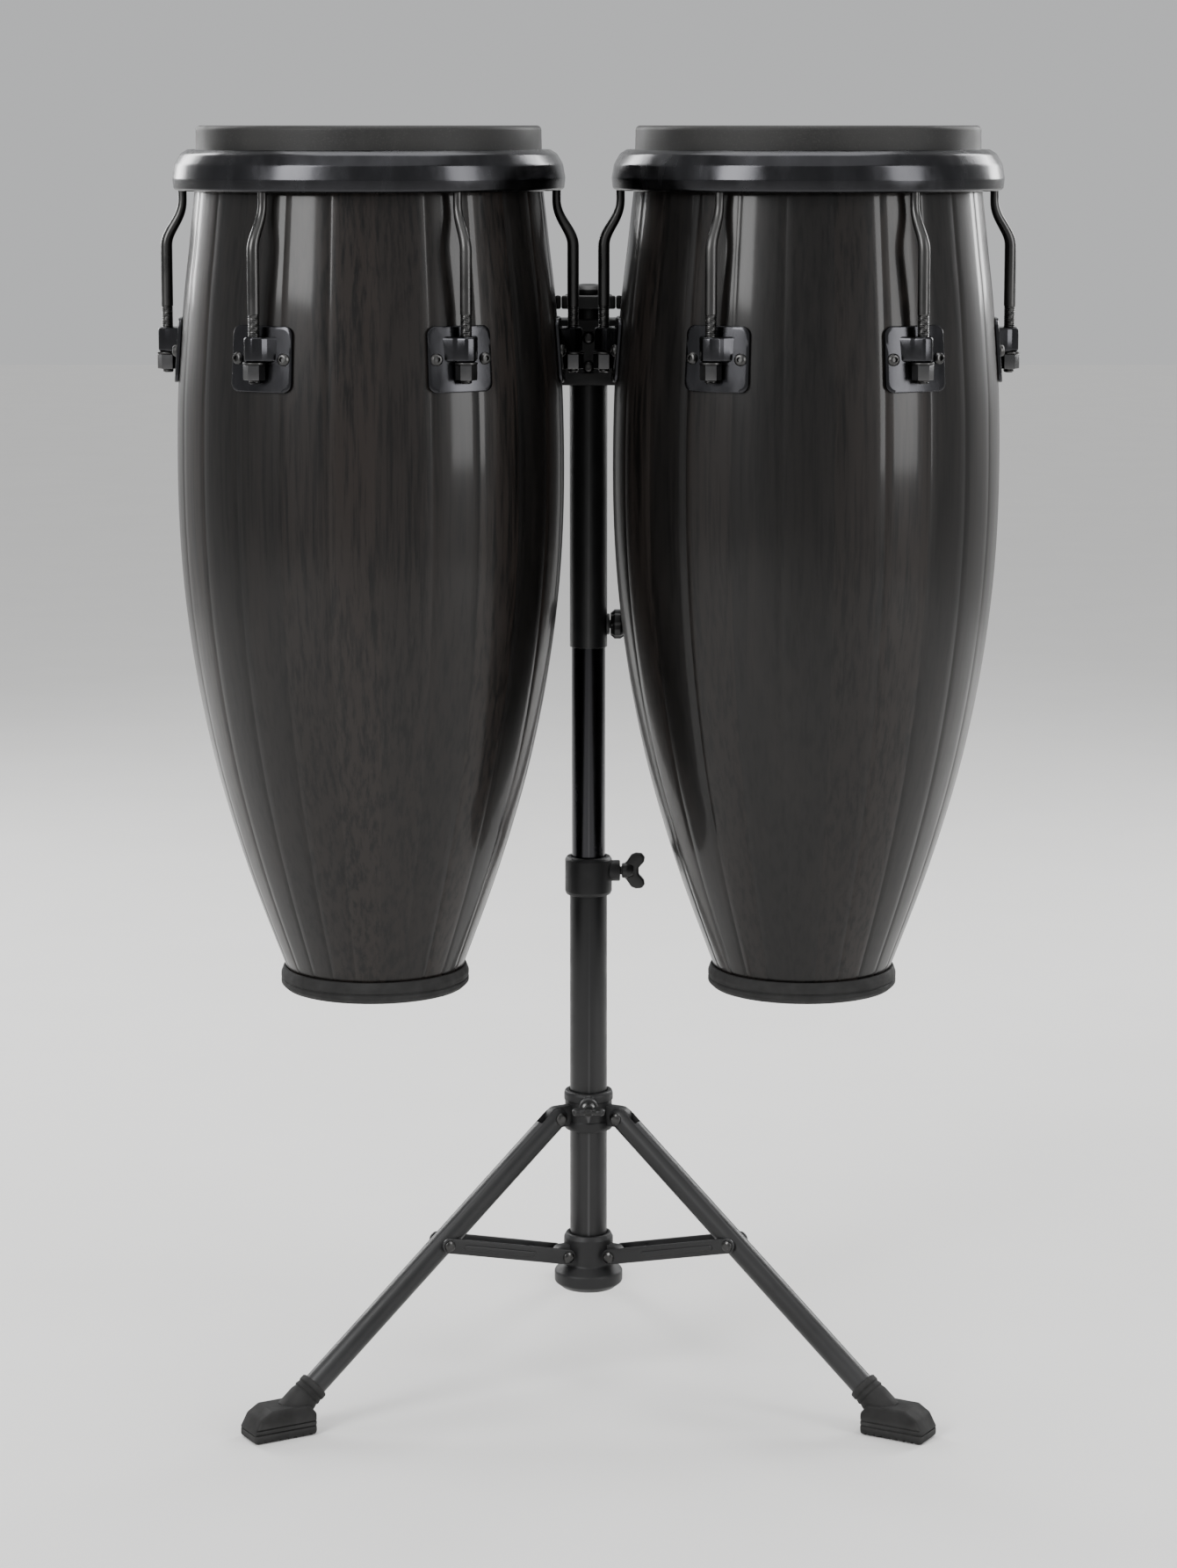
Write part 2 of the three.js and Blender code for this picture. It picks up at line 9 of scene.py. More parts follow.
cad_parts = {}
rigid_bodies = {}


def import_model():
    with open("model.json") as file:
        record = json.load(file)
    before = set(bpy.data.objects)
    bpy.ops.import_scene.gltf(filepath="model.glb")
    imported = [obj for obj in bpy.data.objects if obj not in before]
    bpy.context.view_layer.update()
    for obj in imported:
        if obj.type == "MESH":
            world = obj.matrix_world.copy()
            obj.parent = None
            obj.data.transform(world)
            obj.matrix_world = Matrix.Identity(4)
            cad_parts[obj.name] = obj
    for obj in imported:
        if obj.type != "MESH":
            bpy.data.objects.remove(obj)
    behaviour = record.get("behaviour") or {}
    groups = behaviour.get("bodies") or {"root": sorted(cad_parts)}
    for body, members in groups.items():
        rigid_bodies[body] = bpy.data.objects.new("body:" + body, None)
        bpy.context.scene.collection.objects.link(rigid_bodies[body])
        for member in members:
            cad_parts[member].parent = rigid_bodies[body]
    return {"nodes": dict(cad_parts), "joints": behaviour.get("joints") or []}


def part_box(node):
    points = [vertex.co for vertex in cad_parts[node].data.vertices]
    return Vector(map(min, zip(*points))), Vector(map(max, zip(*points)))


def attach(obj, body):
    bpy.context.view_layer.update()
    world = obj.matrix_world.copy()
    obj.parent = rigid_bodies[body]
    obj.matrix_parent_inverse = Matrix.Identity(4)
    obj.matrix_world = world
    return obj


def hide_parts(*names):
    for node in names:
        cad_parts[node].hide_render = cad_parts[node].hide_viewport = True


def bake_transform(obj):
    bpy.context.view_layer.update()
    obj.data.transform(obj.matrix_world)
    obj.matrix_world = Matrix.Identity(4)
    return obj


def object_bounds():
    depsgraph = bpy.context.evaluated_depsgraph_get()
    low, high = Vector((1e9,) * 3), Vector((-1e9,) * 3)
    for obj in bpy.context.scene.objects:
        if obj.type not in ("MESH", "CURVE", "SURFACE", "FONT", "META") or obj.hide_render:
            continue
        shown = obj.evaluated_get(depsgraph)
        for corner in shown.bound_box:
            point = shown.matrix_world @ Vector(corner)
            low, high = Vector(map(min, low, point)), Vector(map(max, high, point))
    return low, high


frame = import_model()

cad_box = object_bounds()

# ---------------------------------------------------------------- places taken from the frame
MM = 0.001
JOINTS = {joint["name"]: joint for joint in frame["joints"]}
COLUMN = Vector(JOINTS["head_swivel"]["pos_m"])
COLUMN.z = 0
SIDES = {"left": -1, "right": 1}
LEGS = {"back": 90, "left": 210, "right": 330}


def heights(node):
    """The lowest and highest z of a CAD node, in millimetres."""
    low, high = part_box(node)
    return low.z / MM, high.z / MM


def pivot_of(joint):
    """A joint's place as (distance out from the column's axis, height), in millimetres."""
    place = Vector(JOINTS[joint]["pos_m"]) - COLUMN
    return Vector((place.xy.length, place.z)) / MM


def drum_axis(side):
    low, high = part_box(f"{side}_shell")
    return Vector(((low.x + high.x) / 2, (low.y + high.y) / 2, 0))


DRUM_X = abs(drum_axis("right").x) / MM  # drum axis to the column, sideways
SETBACK = (COLUMN.y - drum_axis("right").y) / MM  # drum axis in front of the column
HEAD_TOP = heights("left_head")[1]
STAVES = 24
STAVE_THICK = 11
SEAM_DEPTH = 0.3
SKIN_THICK = 1.6
LUGS = 6
ROD_REACH = 165.5
NECK_REACH = 152
TUBE_R = 15.9
TUBE_BORE = 14.75
INNER_R = 14.3
INNER_BORE = 12.7
CROSS_HALF = 28.5
TONGUE_Y = 7
LEG_PIVOT = pivot_of("back_leg_hinge")
HUB_PIVOT = pivot_of("back_brace_hinge")
LEG_ANGLE = math.radians(49.4)
LEG_LENGTH = 340
LEG_R = 10
BRACE_REACH = 142
LOCK_X = DRUM_X - 33  # lock screw to the drum axis
LOCK_Z = JOINTS["left_lock_screw_turn"]["pos_m"][2] / MM
SWIVEL_Z = JOINTS["swivel_knob_turn"]["pos_m"][2] / MM
HEIGHT_SCREW_Z = JOINTS["height_screw_turn"]["pos_m"][2] / MM
COLLAR_SCREW_Z = JOINTS["collar_screw_turn"]["pos_m"][2] / MM


def hermite(stations):
    """A smooth radius for any height, through (height, radius) stations from the bottom up."""
    zs = [z for z, _ in stations]
    rs = [r for _, r in stations]
    last = len(zs) - 1
    slopes = []
    for i in range(last + 1):
        a, b = max(0, i - 1), min(last, i + 1)
        slopes.append((rs[b] - rs[a]) / (zs[b] - zs[a]))

    def radius(z):
        z = min(max(z, zs[0]), zs[-1])
        i = min(max(k for k in range(last + 1) if zs[k] <= z), last - 1)
        step = zs[i + 1] - zs[i]
        t = (z - zs[i]) / step
        rise = (2 * t**3 - 3 * t**2 + 1) * rs[i] + (3 * t**2 - 2 * t**3) * rs[i + 1]
        lean = (t**3 - 2 * t**2 + t) * slopes[i] + (t**3 - t**2) * slopes[i + 1]
        return rise + step * lean

    return radius


def shell_stations():
    """(height, outside radius) of the CAD shell below its bearing edge, in millimetres."""
    axis = drum_axis("left")
    widest = {}
    for vertex in frame["nodes"]["left_shell"].data.vertices:
        z = round(vertex.co.z / MM, 1)
        reach = (vertex.co - axis).xy.length / MM
        widest[z] = max(widest.get(z, 0), reach)
    return [(z, r) for z, r in sorted(widest.items()) if z < HEAD_TOP - 20]


SHELL = shell_stations()
shell_radius = hermite([*SHELL, (HEAD_TOP - 3.6, 138)])
SHELL_LOW = SHELL[0][0]


# ---------------------------------------------------------------- finishes
class Finish:
    """A procedural material: a Principled shader fed by noises in the object's own metres."""

    def __init__(self, name, roughness, metallic=0.0):
        self.material = bpy.data.materials.new(name)
        self.material.use_nodes = True
        self.tree = self.material.node_tree
        self.shader = self.tree.nodes["Principled BSDF"]
        self.shader.inputs["Roughness"].default_value = roughness
        self.shader.inputs["Metallic"].default_value = metallic
        self.place = self.tree.nodes.new("ShaderNodeTexCoord").outputs["Object"]
        self.normal = None

    def noise(self, scale, detail=4.0, stretch=(1, 1, 1), roughness=0.55):
        mapping = self.tree.nodes.new("ShaderNodeMapping")
        mapping.inputs["Scale"].default_value = stretch
        self.tree.links.new(self.place, mapping.inputs["Vector"])
        noise = self.tree.nodes.new("ShaderNodeTexNoise")
        noise.inputs["Scale"].default_value = scale
        noise.inputs["Detail"].default_value = detail
        noise.inputs["Roughness"].default_value = roughness
        self.tree.links.new(mapping.outputs["Vector"], noise.inputs["Vector"])
        return noise.outputs["Fac"]

    def fit(self, value, low, high, to_low=0.0, to_high=1.0):
        fit = self.tree.nodes.new("ShaderNodeMapRange")
        settings = {"From Min": low, "From Max": high, "To Min": to_low, "To Max": to_high}
        for socket, number in settings.items():
            fit.inputs[socket].default_value = number
        self.tree.links.new(value, fit.inputs["Value"])
        return fit.outputs["Result"]

    def mix(self, factor, first, second):
        """Colours or colour sockets, mixed by a factor socket."""
        mix = self.tree.nodes.new("ShaderNodeMix")
        mix.data_type = "RGBA"
        self.tree.links.new(factor, mix.inputs[0])
        for socket, colour in ((mix.inputs[6], first), (mix.inputs[7], second)):
            if isinstance(colour, tuple):
                socket.default_value = (*colour, 1)
            else:
                self.tree.links.new(colour, socket)
        return mix.outputs[2]

    def edges(self, low=0.53, high=0.6):
        """1 on worn convex edges, 0 elsewhere."""
        geometry = self.tree.nodes.new("ShaderNodeNewGeometry")
        return self.fit(geometry.outputs["Pointiness"], low, high)

    def colour(self, socket):
        self.tree.links.new(socket, self.shader.inputs["Base Color"])

    def rough(self, value, low, high):
        self.tree.links.new(self.fit(value, 0.3, 0.7, low, high), self.shader.inputs["Roughness"])

    def relief(self, value, depth_mm, strength=0.5):
        bump = self.tree.nodes.new("ShaderNodeBump")
        bump.inputs["Distance"].default_value = depth_mm * MM
        bump.inputs["Strength"].default_value = strength
        self.tree.links.new(value, bump.inputs["Height"])
        if self.normal:
            self.tree.links.new(self.normal, bump.inputs["Normal"])
        self.normal = bump.outputs["Normal"]
        self.tree.links.new(self.normal, self.shader.inputs["Normal"])

    def gloss(self, specular, weight=0.0, roughness=0.1):
        self.shader.inputs["Specular IOR Level"].default_value = specular
        self.shader.inputs["Coat Weight"].default_value = weight
        self.shader.inputs["Coat Roughness"].default_value = roughness


def lacquer():
    """Black-stained ash staves under satin lacquer, each stave a shade of its own."""
    finish = Finish("shell_lacquer", 0.35)
    grain = finish.noise(260, 6, (1, 1, 0.035), 0.65)
    figure = finish.noise(38, 3, (1, 1, 0.09))
    tone = finish.tree.nodes.new("ShaderNodeAttribute")
    tone.attribute_name = "stave_tone"
    stave = finish.mix(tone.outputs["Fac"], (0.0045, 0.0041, 0.0039), (0.0125, 0.0098, 0.0086))
    streaked = finish.mix(finish.fit(grain, 0.46, 0.62), stave, (0.0024, 0.0022, 0.0021))
    finish.colour(finish.mix(finish.fit(figure, 0.5, 0.85, 0, 0.6), streaked, (0.0135, 0.0108, 0.0095)))
    finish.rough(figure, 0.3, 0.42)
    finish.relief(grain, 0.12, 0.35)
    finish.gloss(0.16, 0.26, 0.1)
    return finish.material


def skin():
    """Charcoal fibre skin: mottled, with fine crossing fibres."""
    finish = Finish("drum_skin", 0.6)
    blotch = finish.noise(24, 5)
    fibres = finish.noise(900, 3, (1, 0.07, 1))
    across = finish.noise(900, 3, (0.07, 1, 1))
    base = finish.mix(finish.fit(blotch, 0.35, 0.7), (0.008, 0.0078, 0.0076), (0.017, 0.0165, 0.0158))
    crossed = finish.mix(finish.fit(fibres, 0.55, 0.72, 0, 0.55), base, (0.03, 0.029, 0.027))
    finish.colour(finish.mix(finish.fit(across, 0.58, 0.74, 0, 0.4), crossed, (0.007, 0.0069, 0.0066)))
    finish.rough(blotch, 0.5, 0.68)
    finish.relief(fibres, 0.1, 0.4)
    finish.relief(across, 0.1, 0.4)
    finish.gloss(0.3)
    return finish.material


def plating(name, colour, roughness):
    """Plated steel: even metal with faint smears and brighter worn edges."""
    finish = Finish(name, roughness, 1.0)
    smear = finish.noise(55, 5, (1, 1, 0.4))
    brighter = tuple(1.7 * c for c in colour)
    worn = finish.mix(finish.edges(0.56, 0.7), finish.mix(smear, colour, brighter), (0.14, 0.14, 0.145))
    finish.colour(worn)
    finish.rough(smear, roughness * 0.75, roughness * 1.5)
    finish.relief(finish.noise(420, 2), 0.02, 0.25)
    return finish.material


def textured(name, dark, light, roughness, grain, depth, metallic=0.0, worn=(0.034, 0.034, 0.035)):
    """Powder coat, sand-cast metal, moulded nylon or rubber: a fine pebbled skin.
    grain is the pebbles' frequency, depth their relief in millimetres."""
    finish = Finish(name, roughness, metallic)
    pebble = finish.noise(grain, 3)
    drift = finish.noise(14, 4)
    finish.colour(finish.mix(finish.edges(), finish.mix(drift, dark, light), worn))
    finish.rough(finish.noise(70, 4), roughness * 0.85, roughness * 1.15)
    finish.relief(pebble, depth, 0.6)
    finish.gloss(0.35)
    return finish.material


MATERIALS = {
    "shell_lacquer": lacquer(),
    "drum_skin": skin(),
    "black_plating": plating("black_plating", (0.026, 0.026, 0.028), 0.2),
    "black_zinc": plating("black_zinc", (0.042, 0.0415, 0.041), 0.3),
    "powder_coat": textured(
        "powder_coat",
        (0.006, 0.006, 0.0063),
        (0.011, 0.011, 0.0114),
        roughness=0.4,
        grain=1500,
        depth=0.06,
    ),
    "black_casting": textured(
        "black_casting",
        (0.008, 0.008, 0.0083),
        (0.0145, 0.0145, 0.015),
        roughness=0.5,
        grain=800,
        depth=0.12,
        metallic=0.2,
        worn=(0.06, 0.06, 0.061),
    ),
    "black_nylon": textured(
        "black_nylon",
        (0.005, 0.005, 0.005),
        (0.008, 0.008, 0.008),
        roughness=0.36,
        grain=1200,
        depth=0.04,
    ),
    "black_rubber": textured(
        "black_rubber",
        (0.006, 0.006, 0.006),
        (0.0115, 0.0112, 0.0108),
        roughness=0.78,
        grain=600,
        depth=0.1,
        worn=(0.024, 0.0235, 0.023),
    ),
}


# ---------------------------------------------------------------- mesh making, in millimetres
def rounded(corners, steps=4):
    """A closed outline of (x, y, fillet) corners, with an arc of that radius at each."""
    points = []
    for i, (x, y, *fillet) in enumerate(corners):
        here = Vector((x, y))
        back = Vector(corners[i - 1][:2]) - here
        ahead = Vector(corners[(i + 1) % len(corners)][:2]) - here
        half = back.angle(ahead) / 2
        if not fillet or not fillet[0] or half > math.radians(89):
            points.append(here)
            continue
        back_way, ahead_way = back.normalized(), ahead.normalized()
        reach = min(fillet[0] / math.tan(half), 0.48 * back.length, 0.48 * ahead.length)
        centre = here + (back_way + ahead_way).normalized() * reach / math.cos(half)
        start = (here + back_way * reach - centre).normalized()
        end = (here + ahead_way * reach - centre).normalized()
        radius = reach * math.tan(half)
        points += [centre + radius * start.slerp(end, k / steps) for k in range(steps + 1)]
    return points


def arc(centre, radius, start, end, steps=12):
    angles = [math.radians(start + (end - start) * k / steps) for k in range(steps + 1)]
    return [Vector((centre[0] + radius * math.cos(a), centre[1] + radius * math.sin(a))) for a in angles]


def to_mesh(body):
    bmesh.ops.remove_doubles(body, verts=body.verts, dist=1e-5)
    bmesh.ops.recalc_face_normals(body, faces=body.faces)
    mesh = bpy.data.meshes.new("part")
    body.to_mesh(mesh)
    body.free()
    return mesh


def skin_rings(body, rings, closed=False):
    """Faces between rings of vertices; a ring of one vertex is a pole."""
    pairs = list(zip(rings, rings[1:]))
    if closed:
        pairs.append((rings[-1], rings[0]))
    for first, second in pairs:
        count = max(len(first), len(second))
        for k in range(count):
            quad = [first[k % len(first)], first[(k + 1) % len(first)]]
            quad += [second[(k + 1) % len(second)], second[k % len(second)]]
            corners = list(dict.fromkeys(quad))
            if len(corners) > 2:
                body.faces.new(corners)


def lathe(outline, sides=64, angles=None, shape=None):
    """A solid of revolution about Z from a closed (radius, z) outline.
    shape(radius, z, angle) may change the radius round the turn."""
    body = bmesh.new()
    turn = angles or [2 * math.pi * k / sides for k in range(sides)]
    rings = []
    for r, z in outline:
        if r < 1e-6:
            rings.append([body.verts.new((0, 0, z))])
            continue
        ring = []
        for angle in turn:
            reach = shape(r, z, angle) if shape else r
            ring.append(body.verts.new((reach * math.cos(angle), reach * math.sin(angle), z)))
        rings.append(ring)
    on_axis = len(rings[0]) == 1 and len(rings[-1]) == 1
    skin_rings(body, rings, closed=not on_axis)
    return to_mesh(body)


def inset(outline, amount):
    """The outline drawn inwards by an amount; it runs anticlockwise."""
    points = []
    for i, here in enumerate(outline):
        back = (here - outline[i - 1]).normalized()
        ahead = (outline[(i + 1) % len(outline)] - here).normalized()
        normal = Vector((-back.y - ahead.y, back.x + ahead.x))
        normal = normal.normalized() if normal.length > 1e-6 else Vector((-back.y, back.x))
        lean = max(0.5, normal.dot(Vector((-back.y, back.x))))
        points.append(here + normal * amount / lean)
    return points


def plate(outline, low, high, fillet=1.0, steps=3):
    """An (x, y) outline carried from one height to another, with its rims rounded over."""
    area = sum(a.x * b.y - b.x * a.y for a, b in zip(outline, outline[1:] + outline[:1]))
    outline = outline if area > 0 else outline[::-1]
    body = bmesh.new()
    curve = [math.pi / 2 * k / steps for k in range(steps + 1)]
    levels = [(fillet * (1 - math.sin(a)), low + fillet * (1 - math.cos(a))) for a in curve]
    levels += [(amount, low + high - z) for amount, z in reversed(levels)]
    rings = [[body.verts.new((*p, z)) for p in inset(outline, amount)] for amount, z in levels]
    skin_rings(body, rings)
    body.faces.new(rings[0][::-1])
    body.faces.new(rings[-1])
    return to_mesh(body)


def sweep(path, radii, across=(0, 1, 0), sides=20, groove=None):
    """A round bar through points, with a radius at each and flat ends.
    groove(distance, angle) is taken off the radius."""
    body = bmesh.new()
    points = [Vector(p) for p in path]
    side = Vector(across).normalized()
    rings = []
    distance = 0.0
    for i, (point, radius) in enumerate(zip(points, radii)):
        along = (points[min(i + 1, len(points) - 1)] - points[max(i - 1, 0)]).normalized()
        up = along.cross(side)
        distance += (point - points[i - 1]).length if i else 0
        ring = []
        for k in range(sides):
            angle = 2 * math.pi * k / sides
            reach = radius - (groove(distance, angle) if groove else 0)
            ring.append(body.verts.new(point + reach * (math.cos(angle) * side + math.sin(angle) * up)))
        rings.append(ring)
    skin_rings(body, rings)
    body.faces.new(rings[0][::-1])
    body.faces.new(rings[-1])
    return to_mesh(body)


def pin(start, end, radius, soft=0.6, sides=24):
    """A straight round bar with softened ends."""
    start, end = Vector(start), Vector(end)
    along = (end - start).normalized()
    across = along.orthogonal()
    ends = [start, start + along * soft * 0.3, start + along * soft]
    ends += [end - along * soft, end - along * soft * 0.3, end]
    radii = [radius - soft, radius - soft * 0.3, radius, radius, radius - soft * 0.3, radius - soft]
    return sweep(ends, radii, across, sides)


def box(x, y, z, fillet=1.2):
    corner = fillet * 1.3
    corners = [(x[0], y[0], corner), (x[1], y[0], corner), (x[1], y[1], corner), (x[0], y[1], corner)]
    return plate(rounded(corners, 3), z[0], z[1], fillet)


def moved(mesh, matrix):
    mesh = mesh.copy()
    mesh.transform(matrix)
    if matrix.determinant() < 0:
        mesh.flip_normals()
    return mesh


def spin(degrees, axis="Z"):
    return Matrix.Rotation(math.radians(degrees), 4, axis)


def shift(x, y, z):
    return Matrix.Translation((x, y, z))


def combined(target, tools, operation):
    """The target mesh after exact booleans with each tool mesh."""
    scene = bpy.context.scene.collection.objects
    base = bpy.data.objects.new("base", target)
    scene.link(base)
    for tool in tools:
        other = bpy.data.objects.new("tool", tool)
        scene.link(other)
        modifier = base.modifiers.new("boolean", "BOOLEAN")
        modifier.operation = operation
        modifier.solver = "EXACT"
        modifier.object = other
        bpy.context.view_layer.update()
        shaped = bpy.data.meshes.new_from_object(base.evaluated_get(bpy.context.evaluated_depsgraph_get()))
        base.modifiers.clear()
        base.data = shaped
        bpy.data.objects.remove(other)
    shaped = base.data
    bpy.data.objects.remove(base)
    return shaped


def cut(target, *tools):
    return combined(target, tools, "DIFFERENCE")


def fused(target, *parts):
    return combined(target, parts, "UNION")


def add(name, mesh, matrix, slot, body, replaces=(), sharp=32):
    """A finished piece, shaded, coloured and riding on its body.
    The matrix brings its millimetres to the frame's metres."""
    mesh = moved(mesh, matrix)
    mesh.name = name
    mesh.shade_smooth()
    mesh.set_sharp_from_angle(angle=math.radians(sharp))
    mesh.materials.clear()
    mesh.materials.append(MATERIALS[slot])
    piece = bpy.data.objects.new(name, mesh)
    bpy.context.scene.collection.objects.link(piece)
    if body:
        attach(piece, body)
    if replaces:
        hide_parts(*replaces)
    return piece


STAND = Matrix.Translation(COLUMN) @ Matrix.Scale(MM, 4)


def at_drum(side):
    return Matrix.Translation(drum_axis(side)) @ Matrix.Scale(MM, 4)


# ---------------------------------------------------------------- hardware shared by the pieces
def button_bolt(radius=5.0, height=3.2):
    """A button-head bolt standing on z = 0, with its key socket."""
    corners = [(0, height * 0.35), (radius * 0.42, height * 0.35), (radius * 0.42, height, 0.2)]
    corners += [(radius * 0.75, height * 0.86, 1.0), (radius, height * 0.3, 0.8), (radius, 0), (0, 0)]
    return lathe(rounded(corners), 36)


def hex_outline(radius):
    turns = [math.pi / 3 * k for k in range(6)]
    return [Vector((radius * math.cos(turn), radius * math.sin(turn))) for turn in turns]


def thread(start, pitch=1.5, depth=0.7):
    """Turns of a screw thread past a distance along the bar."""

    def groove(distance, angle):
        if distance > start:
            return 0
        return depth * abs((distance / pitch + angle / (2 * math.pi)) % 1 * 2 - 1)

    return groove


def wing_screw(grip, shank, size):
    """A wing screw along +X with its tip at x = 0."""
    half = [(0, 4), (4, 8), (8, 14), (12, 15.6), (17, 15.2), (19.8, 12), (19, 7.5), (14.5, 2.5)]
    corners = [*half, *[(x, -z) for x, z in reversed(half)]]
    outline = rounded([(grip + x * size, z * size, 2.5 * size) for x, z in corners])
    wings = moved(plate(outline, -2.7 * size, 2.7 * size, 1.9 * size), spin(90, "X"))
    hub_r, hub_long = 6.8 * size, 10 * size
    hub_corners = [(0, 0), (hub_r * 0.92, 0, 0.8), (hub_r, hub_long * 0.4, 2)]
    hub_corners += [(hub_r * 0.8, hub_long, 1.5), (0, hub_long)]
    hub = moved(lathe(rounded(hub_corners), 40), shift(grip, 0, 0) @ spin(90, "Y"))
    steps = int(grip * 3)
    path = [(grip * k / steps, 0, 0) for k in range(steps + 1)] + [(grip + 2, 0, 0)]
    threads = sweep(path, [shank] * len(path), sides=20, groove=thread(grip - 1, 1.3, 0.5))
    return fused(fused(hub, wings), threads)


def hugging_plate(half_width, low, high, offset, thick, fillet):
    """A plate curved to the shell about azimuth 0, with a rounded outline and rims."""
    corner = [(-half_width, low), (half_width, low), (half_width, high), (-half_width, high)]
    outline = rounded([(x, z, fillet) for x, z in corner], 6)
    dense = []
    for a, b in zip(outline, outline[1:] + outline[:1]):
        parts = max(1, int((b - a).length / 6))
        dense += [a.lerp(b, k / parts) for k in range(parts)]
    middle = Vector((0, (low + high) / 2))

    def ring(body, scale, lift):
        verts = []
        for point in dense:
            u, z = middle + (point - middle) * scale
            reach = shell_radius(z) + offset + lift
            angle = u / shell_radius(middle.y)
            verts.append(body.verts.new((reach * math.cos(angle), reach * math.sin(angle), z)))
        return verts

    body = bmesh.new()
    levels = [(0.05, 0), (0.4, 0), (0.8, 0), (0.985, 0), (1, thick * 0.15), (1, thick * 0.55)]
    levels += [(0.99, thick * 0.85)]
    levels += [(scale, thick) for scale in (0.965, 0.9, 0.7, 0.4, 0.05)]
    rings = [ring(body, scale, lift) for scale, lift in levels]
    skin_rings(body, rings)
    body.faces.new(rings[0][::-1])
    body.faces.new(rings[-1])
    return to_mesh(body)


def on_shell(azimuth, across, z, lift):
    """Stands a bolt's +Z outwards on the shell, at an arc length across from an azimuth."""
    reach = shell_radius(z) + lift
    turn = azimuth + math.degrees(across / shell_radius(z))
    slope = math.atan((shell_radius(z + 2) - shell_radius(z - 2)) / 4)
    return spin(turn) @ shift(reach, 0, z) @ spin(90 - math.degrees(-slope), "Y")


# ---------------------------------------------------------------- drum pieces
def staved_shell():
    """Staves with fine V seams, a rounded bearing edge and a plain bore."""
    fractions = (0, 0.03, 0.2, 0.4, 0.6, 0.8, 0.97)
    angles = [2 * math.pi * (stave + part) / STAVES for stave in range(STAVES) for part in fractions]
    levels = [SHELL_LOW + (HEAD_TOP - 10 - SHELL_LOW) * k / 44 for k in range(45)]
    outside = [(shell_radius(z), z) for z in levels]
    bearing = [(138.2, 5), (136, 3.4), (131.5, 2.3), (127.5, 6)]
    edge = rounded([(r, HEAD_TOP - depth, 2) for r, depth in bearing])
    inside = [(shell_radius(z) - STAVE_THICK, z) for z in reversed(levels)]
    outline = [*outside, *edge, *inside]

    def seams(r, z, angle):
        part = (angle / (2 * math.pi) * STAVES) % 1
        outer = r > shell_radius(z) - 0.1 and z < HEAD_TOP - 8
        return r - SEAM_DEPTH if outer and (part < 0.01 or part > 0.99) else r

    mesh = lathe(outline, angles=angles, shape=seams)
    random.seed(7)
    tones = [random.random() for _ in range(STAVES)]
    tone = mesh.attributes.new("stave_tone", "FLOAT", "FACE")
    for face in mesh.polygons:
        turn = math.atan2(face.center.y, face.center.x) / (2 * math.pi) % 1
        tone.data[face.index].value = tones[int(turn * STAVES) % STAVES]
    return mesh


def drum_skin():
    """A flat skin, tucked over the bearing edge, with a collar down to the flesh hoop."""
    tuck = HEAD_TOP - 43
    collar = [tuck + 4 * k for k in range(9)]
    outside = [(shell_radius(z) + 1.9, z) for z in collar]
    inside = [(shell_radius(z) + 0.35, z) for z in reversed(collar)]
    top_r = outside[-1][0] - 0.1
    over = rounded([(top_r, HEAD_TOP - 8), (top_r, HEAD_TOP, 5.5), (top_r - 12, HEAD_TOP)], 8)
    over += [Vector((r, HEAD_TOP)) for r in (110, 80, 50, 25)]
    under = [Vector((r, HEAD_TOP - SKIN_THICK)) for r in (25, 50, 80, 110)]
    inner_r, inner_top = top_r - SKIN_THICK, HEAD_TOP - SKIN_THICK
    under += rounded([(top_r - 12, inner_top), (inner_r, inner_top, 3.5), (inner_r, HEAD_TOP - 8)], 8)
    outline = [(0, inner_top), *under, *inside, *outside, *over, (0, HEAD_TOP)]
    return lathe(outline, 128)


def counter_rim():
    """A rolled rim: an inner leg on the flesh hoop and a lip, notched for each rod's neck."""
    low, high = heights("left_rim")
    corners = [
        (142.3, high - 14, 0.8), (142.3, high - 0.8, 1.2), (146.8, high, 2.5), (152.6, high - 3.6, 6),
        (157.4, high - 12, 8), (159.3, high - 23, 6), (158.4, low + 1.4, 2.5), (155.4, low, 1.6),
        (151.1, low, 1), (151.1, low + 2.7, 1), (154.8, low + 2.9, 1.2), (156.4, high - 23, 5),
        (154.2, high - 12.6, 7), (150.4, high - 6.6, 5), (145.3, high - 4.4, 1.5), (145.3, high - 14, 0.8),
    ]
    rim = lathe(rounded(corners, 5), 144)
    notch = pin((NECK_REACH, 0, low - 4), (NECK_REACH, 0, low + 4.4), 4.2, 0.2)
    return cut(rim, *[moved(notch, spin(360 / LUGS * k)) for k in range(LUGS)])


